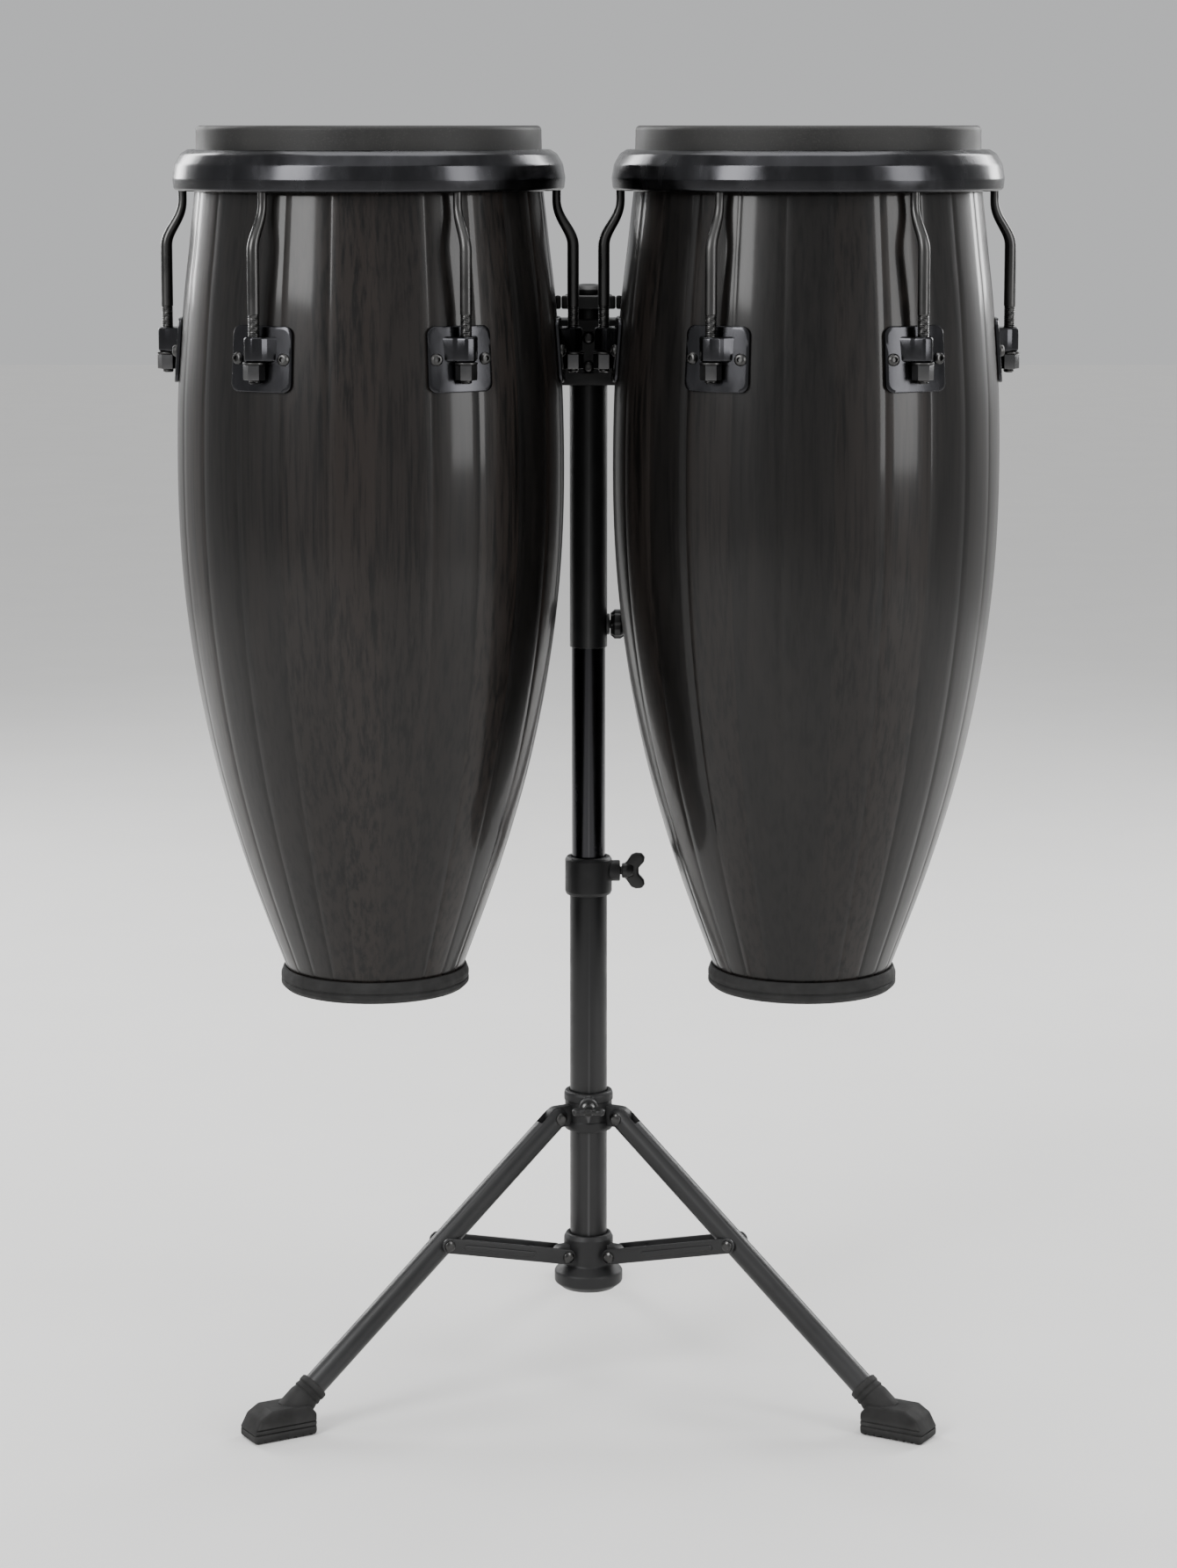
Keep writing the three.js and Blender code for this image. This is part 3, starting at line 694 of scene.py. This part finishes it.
def tuning_rod():
    """A T-headed rod with an eased bend and a threaded end."""
    low = heights("left_tuning_rod_1")[0]
    lip = heights("left_rim")[0] + 3
    path = [(ROD_REACH, low + 0.35 * k) for k in range(160)]
    path += [(ROD_REACH, z) for z in range(int(low + 60), int(low + 100), 8)]
    a, b = Vector((ROD_REACH, low + 103)), Vector((ROD_REACH, low + 116))
    c, d = Vector((NECK_REACH, low + 124)), Vector((NECK_REACH, low + 140))
    for k in range(15):
        t = k / 14
        path.append(a * (1 - t) ** 3 + b * 3 * t * (1 - t) ** 2 + c * 3 * t**2 * (1 - t) + d * t**3)
    path.append((NECK_REACH, lip + 3))
    radii = []
    for _, z in path:
        swell = min(1, max(0, (z - low - 104) / 34))
        radii.append(4.75 - 1.25 * swell)
    radii[:4] = [3.4, 3.9, 4.4, 4.7]
    shank = sweep([(x, 0, z) for x, z in path], radii, groove=thread(54))
    tee = pin((NECK_REACH - 0.5, -8, lip + 3.3), (NECK_REACH - 0.5, 8, lip + 3.3), 2.7, 0.9)
    return fused(shank, tee)


def lug_ear():
    """The plate's ear that a tuning rod drops through."""
    low = heights("left_side_plate_1")[0] + 24
    root = shell_radius(low + 10) + 1
    corners = [(root, -16, 0), (root + 8, -10.5, 6), (167, -8.6, 3), (173, -3.8, 4)]
    outline = rounded([*corners, *[(x, -y, f) for x, y, f in reversed(corners)]], 5)
    ear = plate(outline, low, low + 20, 2.4, 4)
    return cut(ear, pin((ROD_REACH, 0, low - 5), (ROD_REACH, 0, low + 25), 5.6, 0.1))


def side_plate():
    low, high = heights("left_side_plate_1")
    return fused(hugging_plate(27.8, low, high, 0.35, 2.9, 7), lug_ear())


def lug_nut():
    """A hex nut with a washer under the ear."""
    top = heights("left_side_plate_1")[0] + 24
    nut = plate(hex_outline(8.6), top - 14, top - 1.8, 0.7)
    nut = cut(nut, pin((0, 0, top - 20), (0, 0, top + 5), 4.9, 0.1))
    under, over = top - 1.7, top - 0.1
    washer = lathe(rounded([(5, under), (8.9, under, 0.4), (8.9, over, 0.4), (5, over)]), 40)
    mesh = bmesh.new()
    mesh.from_mesh(nut)
    mesh.from_mesh(washer)
    return moved(to_mesh(mesh), shift(ROD_REACH, 0, 0))


def base_ring():
    """The rubber shoe at the foot of the shell, with a moulded groove."""
    floor, top = heights("left_base_ring")
    clear = 0.3
    top_r, seat = shell_radius(top) + clear, SHELL_LOW - clear
    corners = [
        (62.5, floor, 1.2), (74, floor, 3), (78.2, floor + 4, 2), (78.2, floor + 7, 0.5),
        (77.2, floor + 7.6, 0.4), (77.2, floor + 8.6, 0.4), (78.2, floor + 9.2, 0.5),
        (78.2, floor + 12.5, 2.5), (top_r + 2, top, 1), (top_r, top, 0.4),
        (shell_radius(SHELL_LOW) + clear, seat), (62.5, seat, 1),
    ]
    return lathe(rounded(corners), 96)


def saddle():
    """A cast saddle for the drum on the left: a curved flange and a block with its socket."""
    low, high = heights("left_saddle")
    face = DRUM_X - CROSS_HALF - 0.5
    flange = moved(hugging_plate(20, low, high, 0.35, 3.2, 5), spin(30))
    near, far = SETBACK - 15, SETBACK + 25
    reach = shell_radius(low + 20) + 1.2
    start, end = math.degrees(math.asin(near / reach)), math.degrees(math.asin(far / reach))
    hug = [(p.x, p.y) for p in arc((0, 0), reach, end, start, 8)]
    socket_y = SETBACK + TONGUE_Y
    block = plate(rounded([*hug, (face, near, 2.5), (face, far, 4)]), low + 18, high - 2, 1.6)
    half = [(3, 6.4), (0, 6.4), (-7.9, 8.9)]
    socket = [*[(x, -y) for x, y in half], *reversed(half)]
    socket = plate([Vector((face + x, socket_y + y)) for x, y in socket], low, high - 5.5, 0.05, 1)
    screw_hole = pin((LOCK_X, socket_y + 6, LOCK_Z), (LOCK_X, 150, LOCK_Z), 3, 0.1)
    return cut(fused(block, flange), socket, screw_hole)


SHELL_MESH = staved_shell()
SKIN_MESH = drum_skin()
RIM_MESH = counter_rim()
ROD_MESH = tuning_rod()
PLATE_MESH = side_plate()
NUT_MESH = lug_nut()
RING_MESH = base_ring()
SADDLE_MESH = saddle()
BOLT_MESH = button_bolt()
LOCK_MESH = wing_screw(11, 2.4, 0.75)


def dress_drum(side):
    place = at_drum(side)
    drum, rim_set = f"{side}_drum", f"{side}_rim_set"
    mirror = Matrix.Scale(-SIDES[side], 4, (1, 0, 0))
    turn = spin(6 if side == "left" else 95)
    add(f"{side}_staved_shell", SHELL_MESH, place @ turn, "shell_lacquer", drum, [f"{side}_shell"], 50)
    head = add(f"{side}_tucked_skin", SKIN_MESH, place @ turn, "drum_skin", None, [f"{side}_head"], 60)
    axis = drum_axis(side)
    start, end = (axis.x, axis.y, (HEAD_TOP - 10) * MM), (axis.x, axis.y, (HEAD_TOP - 34) * MM)
    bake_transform(head)
    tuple(start)
    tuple(end)
    add(f"{side}_counter_rim", RIM_MESH, place, "black_plating", rim_set, [f"{side}_rim"], 50)
    low, high = heights(f"{side}_flesh_hoop")
    hoop = lathe(rounded([(142.6, low, 2), (148.4, low, 2), (148.4, high, 2), (142.6, high, 2)]), 96)
    add(f"{side}_steel_hoop", hoop, place, "black_zinc", rim_set, [f"{side}_flesh_hoop"])
    add(f"{side}_rubber_shoe", RING_MESH, place, "black_rubber", drum, [f"{side}_base_ring"])
    for number in range(1, LUGS + 1):
        azimuth = 360 / LUGS * (number - 1)
        here = place @ spin(azimuth)
        lug, rod = f"{side}_side_plate_{number}", f"{side}_tuning_rod_{number}"
        add(f"{side}_lug_plate_{number}", PLATE_MESH, here, "black_plating", drum, [lug])
        add(f"{side}_lug_nut_{number}", NUT_MESH, here, "black_zinc", drum)
        add(f"{side}_lug_rod_{number}", ROD_MESH, here, "black_zinc", rim_set, [rod], 50)
        bolt_z = heights(f"{side}_side_plate_1")[0] + 26
        for end_name, across in (("a", -21), ("b", 21)):
            where = place @ on_shell(azimuth, across, bolt_z, 3.2)
            add(f"{side}_lug_bolt_{number}{end_name}", BOLT_MESH, where, "black_zinc", drum)
    add(f"{side}_cast_saddle", SADDLE_MESH, place @ mirror, "black_casting", drum, [f"{side}_saddle"])
    low = heights(f"{side}_saddle")[0]
    for number, across in ((1, -12), (2, 12)):
        where = place @ mirror @ on_shell(30, across, low + 9, 3.4)
        bolt = moved(BOLT_MESH, Matrix.Scale(0.9, 4))
        add(f"{side}_saddle_bolt_{number}", bolt, where, "black_zinc", drum)
    lock = place @ mirror @ shift(LOCK_X, SETBACK + 15.2, LOCK_Z) @ spin(90)
    screw = f"{side}_lock_screw"
    add(f"{side}_wing_bolt", LOCK_MESH, lock, "black_nylon", screw, [screw])


# ---------------------------------------------------------------- stand pieces
def tongue(pivot, disc, root, half):
    """A hinge tongue pointing along +X, with its pivot hole."""
    reach, z = pivot
    outline = [Vector((root, z - disc)), *arc((reach, z), disc, -90, 90, 14), Vector((root, z + disc))]
    blade = moved(plate(outline, -half, half, 1.0), spin(90, "X"))
    return cut(blade, pin((reach, -20, z), (reach, 20, z), 3.5, 0.1))


def with_tongues(body, *shape):
    blade = tongue(*shape)
    return fused(body, *[moved(blade, spin(azimuth)) for azimuth in LEGS.values()])


def lower_hub():
    low, high = heights("lower_hub")
    corners = [
        (0, low), (23, low, 2), (29.3, low + 5, 3), (29.4, low + 14.5, 3), (21.4, low + 21.5, 3),
        (21.2, high - 4, 2), (19, high, 1.2), (16.35, high, 0.6), (16.35, low + 9.6), (0, low + 9.6),
    ]
    return with_tongues(lathe(rounded(corners, 5), 72), HUB_PIVOT, 8, 17.5, 4.6)


def leg_collar():
    low, high = heights("leg_collar")
    corners = [
        (16.4, low, 0.8), (20, low, 1.5), (21, low + 3, 1), (21, low + 8, 0.8), (20.2, low + 9, 0.6),
        (20.2, high - 9, 0.6), (21, high - 8, 0.8), (21, high - 3, 1), (20, high, 1.5), (16.4, high, 0.8),
    ]
    ring = lathe(rounded(corners), 72)
    body = with_tongues(ring, LEG_PIVOT, 9, 18, 4.2)
    body = fused(body, pin((0, -17.5, COLLAR_SCREW_Z), (0, -27, COLLAR_SCREW_Z), 8, 1.2))
    body = cut(body, pin((0, 0, low - 5), (0, 0, high + 5), 16.4, 0.1, 72))
    return cut(body, pin((0, -12, COLLAR_SCREW_Z), (0, -40, COLLAR_SCREW_Z), 3.8, 0.1))


def height_clamp():
    low, high = heights("height_clamp")
    tube_top = heights("base_tube")[1]
    corners = [
        (16.35, low, 0.6), (18.8, low, 1.5), (20, low + 3, 1.2), (20, high - 3, 1.5), (18.2, high, 2),
        (14.9, high, 0.8), (14.9, tube_top + 0.4), (16.35, tube_top + 0.4),
    ]
    boss = pin((16.5, 0, HEIGHT_SCREW_Z), (27, 0, HEIGHT_SCREW_Z), 9, 1.2, 40)
    body = fused(lathe(rounded(corners), 72), boss)
    body = cut(body, box((-40, -14), (-0.9, 0.9), (low - 2, high + 2), 0.1))
    return cut(body, pin((5, 0, HEIGHT_SCREW_Z), (40, 0, HEIGHT_SCREW_Z), 4.5, 0.1))


def round_tube(bore, outer, low, high, soft=0.5):
    corners = [(bore, low, soft), (outer, low, soft), (outer, high, soft), (bore, high, soft)]
    return lathe(rounded(corners, 3), 64)


def head_sleeve():
    low, high = heights("head_sleeve")
    boss = pin((14.9, 0, SWIVEL_Z), (18, 0, SWIVEL_Z), 9, 0.6, 40)
    body = fused(round_tube(TUBE_BORE, TUBE_R, low, high), boss)
    return cut(body, pin((5, 0, SWIVEL_Z), (30, 0, SWIVEL_Z), 4.4, 0.1))


def swivel_knob():
    """A six-lobed knob along +X with its screw's tip on the inner tube."""
    corners = [
        (0, 14.8), (3.6, 14.8, 0.6), (3.6, 18.6), (9.5, 18.6, 1), (11, 20.5, 1), (12.5, 22, 1.2),
        (12.5, 27, 2), (10.5, 30, 2), (6, 31.4, 3), (0, 32),
    ]

    def lobes(r, z, angle):
        return r * (1 - 0.12 * max(0, -math.cos(6 * angle)) ** 2) if z > 19.5 else r

    return moved(lathe(rounded(corners), 96, shape=lobes), shift(0, 0, SWIVEL_Z) @ spin(90, "Y"))


def crosshead():
    """A cast block on the sleeve with a dovetail tongue on each flank."""
    low, high = heights("crosshead")
    corners = [
        (-CROSS_HALF, -14, 2), (-CROSS_HALF + 6, -19, 3), (CROSS_HALF - 6, -19, 3), (CROSS_HALF, -14, 2),
        (CROSS_HALF, 20, 3), (-CROSS_HALF, 20, 3),
    ]
    body = plate(rounded(corners, 4), low, high, 1.8)
    for side in (1, -1):
        dovetail = [(-2, -6), (0, -6), (7.5, -8.5), (7.5, 8.5), (0, 6), (-2, 6)]
        outline = rounded([(side * (CROSS_HALF + out), TONGUE_Y + y, 0.6) for out, y in dovetail], 3)
        body = fused(body, plate(outline, low + 6, high - 3, 0.5))
    recess = box((-13, 13), (-30, -17.6), (low + 10, high - 10), 1.5)
    return cut(cut(body, recess), pin((0, 0, low - 20), (0, 0, high + 20), TUBE_R + 0.4, 0.1, 72))


def bumper_bar():
    low, high = heights("bumper_bar")
    ring = round_tube(TUBE_R + 0.4, 20, low, high, 1.2)
    bar = box((-22.5, 22.5), (-27, -18.5), (low, high), 1.6)
    return cut(fused(ring, bar), pin((0, 0, low - 5), (0, 0, high + 5), TUBE_R + 0.4, 0.1, 72))


def column_cap():
    low, high = heights("column_cap")
    brim = high - 8.6
    corners = [
        (0, low), (11.6, low, 1.5), (11.9, brim, 0.2), (TUBE_R, brim, 0.5), (TUBE_R, high - 5, 2.5),
        (12.4, high - 1.4, 3), (6, high - 0.2, 4), (0, high),
    ]
    return lathe(rounded(corners, 5), 64)


def leg_point(length, across=0.0):
    reach = LEG_PIVOT.x + length * math.sin(LEG_ANGLE)
    return Vector((reach, across, LEG_PIVOT.y - length * math.cos(LEG_ANGLE)))


def leg():
    """A tube pointing along +X, domed and forked at the top round the collar's tongue."""
    lengths = [-9.3, -8.8, -7, -4, 0, 5, 14, 120, 240, LEG_LENGTH]
    radii = [2.4, 4.2, 7, 8.9, 9.7, LEG_R, LEG_R, LEG_R, LEG_R, LEG_R]
    body = sweep([leg_point(length) for length in lengths], radii, sides=40)
    slot = box((-13, 13), (-4.8, 4.8), (-13, 13), 0.4)
    slot = moved(slot, shift(*leg_point(0)) @ Matrix.Rotation(LEG_ANGLE, 4, "Y"))
    return cut(body, slot)


def rivet(place, start, end, radius=3.0, head=5.4):
    """A pin across Y with a domed head beyond each end."""
    dome = [(head, 0, 0.3), (head * 0.9, 1.3, 1.2), (head * 0.5, 2.3, 1.5), (0, 2.5)]
    corners = [(r, start - z, *f) for r, z, *f in reversed(dome)]
    corners += [(radius, start), (radius, end), *[(r, end + z, *f) for r, z, *f in dome]]
    return moved(lathe(rounded(corners), 32), shift(place[0], 0, place[1]) @ spin(-90, "X"))


def foot():
    """A rubber boot with a broad sole, grip ribs and a cuff round the leg."""
    low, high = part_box("back_foot")
    heel, tip = (low.y - COLUMN.y) / MM, (high.y - COLUMN.y) / MM
    top = high.z / MM
    corners = [
        (heel, 0, 3), (tip, 0, 3), (tip, 9, 4), (tip - 6, 20, 6), (tip - 16, top, 5),
        (heel + 7, top, 5), (heel, 18, 5),
    ]
    boot = moved(plate(rounded(corners, 5), -15, 15, 2.4, 4), spin(90, "X"))
    rib_starts = [heel + 5 + 7 * k for k in range(7)]
    ribs = [box((x, x + 2.4), (-20, 20), (-3, 1.6), 0.2) for x in rib_starts]
    grooves = [cut_ring(heel, tip, z) for z in (7, 11)]
    boot = cut(boot, *ribs, *grooves)
    cuff_at = [304, 305, 309, 310.5, 314, 315.5, 319, 336]
    cuff_r = [11.4, 12.6, 12.8, 11.9, 12.8, 11.9, 12.8, 12.8]
    cuff = sweep([leg_point(length) for length in cuff_at], cuff_r, sides=40)
    bore = sweep([leg_point(250), leg_point(LEG_LENGTH + 0.4)], [LEG_R + 0.25] * 2, sides=40)
    return cut(fused(boot, cuff), bore)


def cut_ring(heel, tip, z):
    """The tool for a shallow groove round the boot at one height."""
    outer = box((heel - 9, tip + 9), (-24, 24), (z, z + 1.4), 0.1)
    inner = box((heel + 0.9, tip - 0.9), (-13.9, 13.9), (z - 1, z + 2.4), 0.1)
    return cut(outer, inner)


BRACE_END = Vector((BRACE_REACH, LEG_PIVOT.y - (BRACE_REACH - LEG_PIVOT.x) / math.tan(LEG_ANGLE)))


def strap():
    """One side of a brace in its (out, z) plane, as a bar with round ends and a pressed rib."""
    run = BRACE_END - HUB_PIVOT
    rise = math.degrees(math.atan2(run.y, run.x))
    half = 6.5
    outline = [*arc(HUB_PIVOT, half, rise + 90, rise + 270), *arc(BRACE_END, half, rise - 90, rise + 90)]
    blade = moved(plate(outline, 0, 2.5, 0.7), spin(90, "X"))
    start, end = HUB_PIVOT + run * 0.3, BRACE_END - run * 0.14
    rib_outline = [*arc(start, 2.4, rise + 90, rise + 270), *arc(end, 2.4, rise - 90, rise + 90)]
    rib = moved(plate(rib_outline, 1, 3.4, 0.9), spin(90, "X"))
    return fused(blade, rib)


def brace():
    """Two straps outside the leg with a stretcher between them."""
    outer = moved(strap(), shift(0, -10.6, 0))
    mirrored = moved(outer, Matrix.Scale(-1, 4, (0, 1, 0)))
    run = BRACE_END - HUB_PIVOT
    at = HUB_PIVOT + run * 0.22
    stretcher = pin((at.x, -11.5, at.y), (at.x, 11.5, at.y), 3, 0.2)
    return fused(outer, mirrored, stretcher)


def dress_tripod():
    leg_mesh, foot_mesh, brace_mesh = leg(), foot(), brace()
    leg_rivet = rivet(LEG_PIVOT, -9.7, 9.7)
    hub_rivet = rivet(HUB_PIVOT, -13.1, 13.1)
    joint_cap = lathe(rounded([(0, 0), (5, 0, 0.3), (4.6, 1.3, 1.2), (2.6, 2.3, 1.5), (0, 2.5)]), 32)
    for name, azimuth in LEGS.items():
        here = STAND @ spin(azimuth)
        add(f"{name}_leg_tube", leg_mesh, here, "powder_coat", f"{name}_leg", [f"{name}_leg"])
        add(f"{name}_leg_rivet", leg_rivet, here, "black_zinc", f"{name}_leg")
        add(f"{name}_boot", foot_mesh, here, "black_rubber", f"{name}_leg", [f"{name}_foot"])
        add(f"{name}_brace_straps", brace_mesh, here, "powder_coat", f"{name}_brace", [f"{name}_brace"])
        add(f"{name}_hub_rivet", hub_rivet, here, "black_zinc", f"{name}_brace")
        for end_name, flip in (("a", -1), ("b", 1)):
            cap = shift(BRACE_END.x, 13.1 * flip, BRACE_END.y) @ spin(-90 * flip, "X")
            add(f"{name}_joint_rivet_{end_name}", joint_cap, here @ cap, "black_zinc", f"{name}_brace")


def dress_column():
    low, high = heights("base_tube")
    column = round_tube(TUBE_BORE, TUBE_R, low, high)
    add("fixed_column", column, STAND, "powder_coat", "stand_base", ["base_tube"])
    add("tripod_hub", lower_hub(), STAND, "black_casting", "stand_base", ["lower_hub"])
    add("tube_clamp", height_clamp(), STAND, "black_casting", "stand_base", ["height_clamp"])
    screw = wing_screw(13.4, 3.8, 1)
    here = STAND @ shift(15, 0, HEIGHT_SCREW_Z)
    add("height_wing", screw, here, "black_nylon", "height_screw", ["height_screw"])
    add("sliding_collar", leg_collar(), STAND, "black_casting", "leg_collar", ["leg_collar"])
    here = STAND @ shift(0, -16.4, COLLAR_SCREW_Z) @ spin(-90) @ spin(90, "X")
    add("collar_wing", wing_screw(11.4, 3, 0.9), here, "black_nylon", "collar_screw", ["collar_screw"])
    low, high = heights("inner_tube")
    column = round_tube(INNER_BORE, INNER_R, low, high)
    add("inner_column", column, STAND, "black_plating", "inner_column", ["inner_tube"])
    add("swivel_sleeve", head_sleeve(), STAND, "powder_coat", "mount_head", ["head_sleeve"])
    add("lobed_knob", swivel_knob(), STAND, "black_nylon", "swivel_knob", ["swivel_knob"])
    add("dovetail_block", crosshead(), STAND, "black_casting", "mount_head", ["crosshead"])
    middle = sum(heights("crosshead")) / 2
    for number, z in ((1, middle - 12), (2, middle + 12)):
        bolt = shift(0, -17.7, z) @ spin(90, "X")
        add(f"block_bolt_{number}", BOLT_MESH, STAND @ bolt, "black_zinc", "mount_head")
    for number, x in ((3, -21), (4, 21)):
        bolt = shift(x, 19.8, middle) @ spin(-90, "X")
        add(f"block_bolt_{number}", BOLT_MESH, STAND @ bolt, "black_zinc", "mount_head")
    add("stop_bar", bumper_bar(), STAND, "black_casting", "mount_head", ["bumper_bar"])
    low, high = heights("bumper_bar")
    for number, side in ((1, -1), (2, 1)):
        ends = sorted((side * 22.8, side * 28))
        pad = box(ends, (-27.1, -18.4), (low - 0.1, high + 0.1), 1.8)
        add(f"stop_pad_{number}", pad, STAND, "black_rubber", "mount_head")
    add("domed_cap", column_cap(), STAND, "black_nylon", "mount_head", ["column_cap"])


dress_drum("left")
dress_drum("right")
dress_tripod()
dress_column()


# ---------------------------------------------------------------- floor, light and camera
def studio_floor():
    body = bmesh.new()
    half, cells = 14.0, 28
    bmesh.ops.create_grid(body, x_segments=cells, y_segments=cells, size=half)
    mesh = to_mesh(body)
    finish = Finish("floor", 0.75)
    speckle = finish.noise(5, 3)
    finish.colour(finish.mix(speckle, (0.665, 0.66, 0.65), (0.71, 0.705, 0.695)))
    finish.gloss(0.1)
    mesh.materials.append(finish.material)
    floor = bpy.data.objects.new("studio_floor", mesh)
    floor.location.z = -0.0005
    bpy.context.scene.collection.objects.link(floor)


def softbox(name, place, target, size, power):
    light = bpy.data.lights.new(name, "AREA")
    light.shape = "RECTANGLE"
    light.size, light.size_y = size
    light.energy = power
    lamp = bpy.data.objects.new(name, light)
    lamp.location = place
    lamp.rotation_euler = (Vector(target) - Vector(place)).to_track_quat("-Z", "Y").to_euler()
    bpy.context.scene.collection.objects.link(lamp)


def studio():
    world = bpy.data.worlds.new("studio")
    world.use_nodes = True
    background = world.node_tree.nodes["Background"]
    background.inputs["Color"].default_value = (0.86, 0.87, 0.88, 1)
    background.inputs["Strength"].default_value = 0.66
    bpy.context.scene.world = world
    softbox("key", (-2.2, -2.4, 2.3), (0, 0, 0.6), (1.2, 2.0), 110)
    softbox("fill", (2.6, -1.8, 1.6), (0, 0, 0.6), (1.0, 2.2), 60)
    softbox("rim_left", (-2.0, 2.2, 1.9), (0, 0, 0.7), (0.8, 2.0), 70)
    softbox("rim_right", (2.2, 2.0, 1.9), (0, 0, 0.7), (0.8, 2.0), 70)
    softbox("top", (0, 0.2, 3.0), (0, 0, 0.6), (1.8, 1.8), 40)
    sky = bpy.data.lights.new("sky", "SUN")
    sky.energy = 1.0
    sky.angle = math.radians(70)
    lamp = bpy.data.objects.new("sky", sky)
    lamp.rotation_euler = (math.radians(18), 0, 0)
    bpy.context.scene.collection.objects.link(lamp)


def camera():
    """A long lens in front at the height of the heads, looking slightly down."""
    distance, eye = 3.1, HEAD_TOP * MM
    low, high = cad_box
    drums_y = drum_axis("left").y
    filled = 0.84
    sensor = 36
    shift_y = -0.1
    frame_height = (high.z - low.z) / filled
    lens = bpy.data.cameras.new("camera")
    lens.sensor_width = sensor
    lens.lens = sensor * distance / frame_height
    lens.shift_y = shift_y
    seen = bpy.data.objects.new("camera", lens)
    seen.location = (0, drums_y - distance, eye)
    centre_z = (low.z + high.z) / 2
    aim_z = centre_z - shift_y * frame_height
    pitch = math.atan2(aim_z - eye, distance)
    seen.rotation_euler = (math.pi / 2 + pitch, 0, 0)
    bpy.context.scene.collection.objects.link(seen)
    bpy.context.scene.camera = seen


studio_floor()
studio()
camera()
